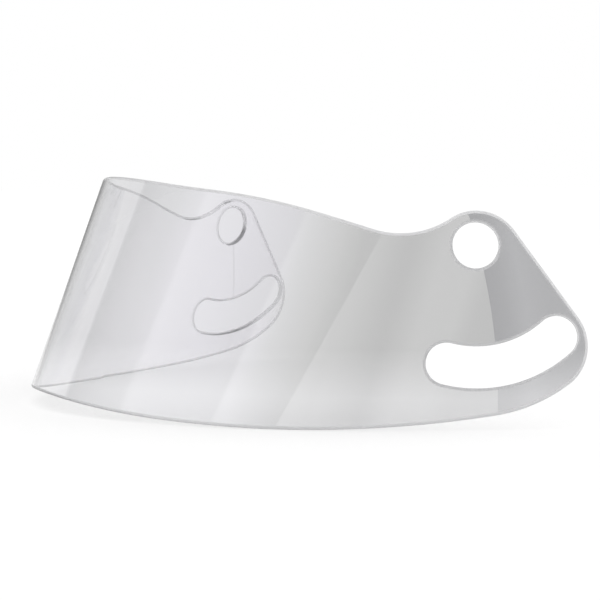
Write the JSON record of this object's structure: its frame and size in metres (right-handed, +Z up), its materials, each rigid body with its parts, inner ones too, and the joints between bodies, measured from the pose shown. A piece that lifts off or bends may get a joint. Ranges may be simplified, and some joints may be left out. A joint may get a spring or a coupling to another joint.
{
  "type": "helmet visor",
  "caption": "Clear wrap-around helmet visor: one bent sheet that leans back, with a round pivot hole and a curved guide slot in each flat ear.",
  "frame": {"origin": "middle of the footprint, on the surface that the visor stands on, midway between the ears", "axes": "+X to the wearer's left, +Y to the back, +Z up; the face of the visor looks along -Y"},
  "size_m": [0.3022, 0.1838, 0.1005],
  "materials": {
    "clear_sheet": "clear, faintly grey, polished"
  },
  "bodies": {
    "root": {"visor_shield": "clear_sheet"}
  },
  "joints": []
}
